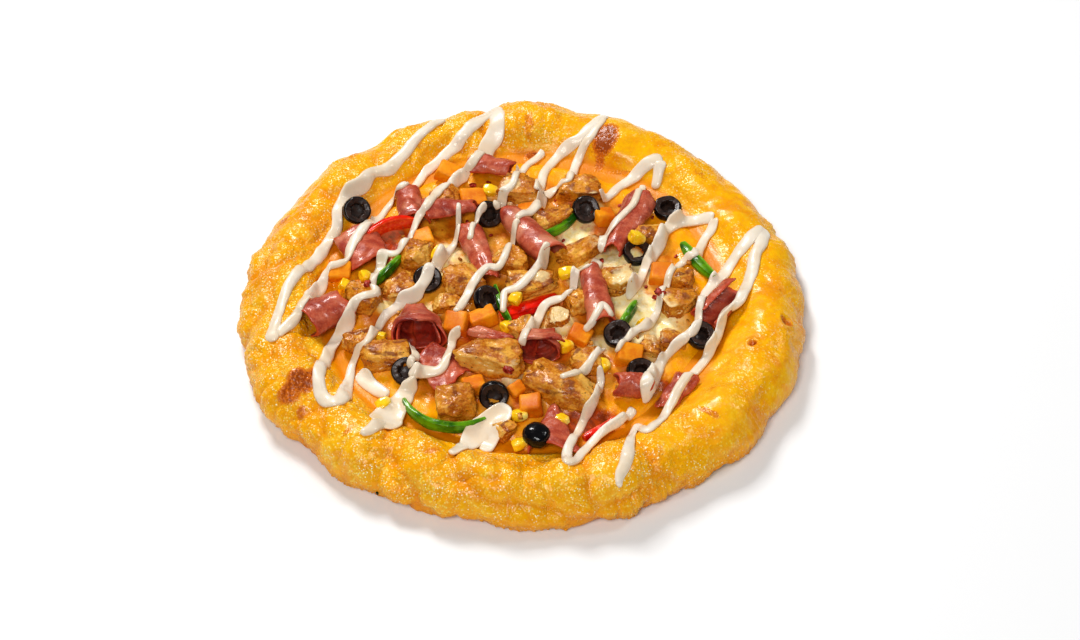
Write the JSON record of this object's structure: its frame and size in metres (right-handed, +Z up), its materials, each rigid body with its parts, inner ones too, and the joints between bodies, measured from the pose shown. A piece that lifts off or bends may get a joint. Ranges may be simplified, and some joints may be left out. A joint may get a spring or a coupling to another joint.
{
  "type": "pan pizza",
  "caption": "Whole round pan pizza with a lumpy cheddar-covered rim, folded ham, chicken, black olives, peppers, corn and mayonnaise strands.",
  "frame": {"origin": "middle of the flat underside of the crust", "axes": "+Z up out of the topping, -Y towards the side nearest the viewer, +X to the viewer's right"},
  "size_m": [0.2978, 0.295, 0.032],
  "materials": {
    "cheddar_crust": "baked dough under glossy orange cheddar, granular, with browned bubbles",
    "melted_cheese": "melted white and orange cheese with small blisters",
    "ham": "thin moist pink slices with darker red insides and edges",
    "roast_chicken": "golden brown, fibrous, with dark specks of seasoning",
    "black_olive": "wet black skin, brownish cut faces",
    "red_pepper": "glossy red skin",
    "green_pepper": "glossy green skin over pale green flesh",
    "carrot": "soft cooked orange dice",
    "sweetcorn": "glossy yellow kernels",
    "mayonnaise": "glossy cream strands"
  },
  "bodies": {
    "root": {"crust": "cheddar_crust", "cheese_bed": "melted_cheese", "ham_01": "ham", "ham_02": "ham", "ham_03": "ham", "ham_04": "ham", "ham_05": "ham", "ham_06": "ham", "ham_07": "ham", "ham_08": "ham", "ham_09": "ham", "ham_10": "ham", "ham_11": "ham", "ham_12": "ham", "ham_13": "ham", "ham_14": "ham", "ham_15": "ham", "ham_16": "ham", "ham_17": "ham", "chicken_01": "roast_chicken", "chicken_02": "roast_chicken", "chicken_03": "roast_chicken", "chicken_04": "roast_chicken", "chicken_05": "roast_chicken", "chicken_06": "roast_chicken", "chicken_07": "roast_chicken", "chicken_08": "roast_chicken", "chicken_09": "roast_chicken", "chicken_10": "roast_chicken", "chicken_11": "roast_chicken", "chicken_12": "roast_chicken", "chicken_13": "roast_chicken", "chicken_14": "roast_chicken", "chicken_15": "roast_chicken", "chicken_16": "roast_chicken", "chicken_17": "roast_chicken", "chicken_18": "roast_chicken", "chicken_19": "roast_chicken", "olive_01": "black_olive", "olive_02": "black_olive", "olive_03": "black_olive", "olive_04": "black_olive", "olive_05": "black_olive", "olive_06": "black_olive", "olive_07": "black_olive", "olive_08": "black_olive", "olive_09": "black_olive", "olive_10": "black_olive", "olive_11": "black_olive", "olive_12": "black_olive", "olive_13": "black_olive", "red_pepper_1": "red_pepper", "red_pepper_2": "red_pepper", "red_pepper_3": "red_pepper", "green_pepper_1": "green_pepper", "green_pepper_2": "green_pepper", "green_pepper_3": "green_pepper", "green_pepper_4": "green_pepper", "green_pepper_5": "green_pepper", "green_pepper_6": "green_pepper"}
  },
  "joints": []
}
